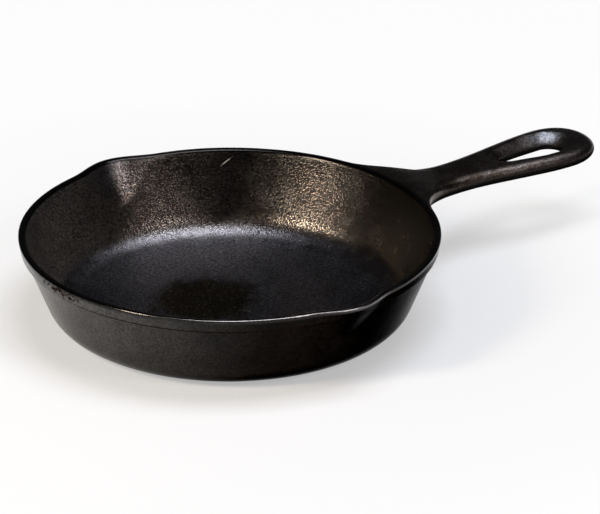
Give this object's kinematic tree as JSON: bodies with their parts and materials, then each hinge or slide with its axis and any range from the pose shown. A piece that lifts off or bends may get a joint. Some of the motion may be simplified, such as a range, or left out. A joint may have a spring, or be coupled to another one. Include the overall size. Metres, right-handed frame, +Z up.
{
  "type": "cast iron skillet",
  "caption": "Round one-piece cast iron skillet with leaning walls, a banded rim, opposed pouring lips and a flared handle ending in a hanging eye.",
  "frame": {"origin": "centre of the flat underside, straight below the centre of the rim", "axes": "+X from the pan's centre along the handle to its tip, +Y to the right-hand pouring lip, +Z up"},
  "size_m": [0.3197, 0.2132, 0.0428],
  "materials": {
    "cast_iron": "seasoned sand-cast iron, near black, satin sheen over a fine pebbled grain"
  },
  "bodies": {
    "root": {"cooking_floor": "cast_iron", "heel": "cast_iron", "side_wall": "cast_iron", "rear_rim": "cast_iron", "left_rim": "cast_iron", "right_rim": "cast_iron", "left_pouring_lip": "cast_iron", "right_pouring_lip": "cast_iron", "handle_root": "cast_iron", "handle_shank": "cast_iron", "left_eye_bar": "cast_iron", "right_eye_bar": "cast_iron"}
  },
  "joints": []
}
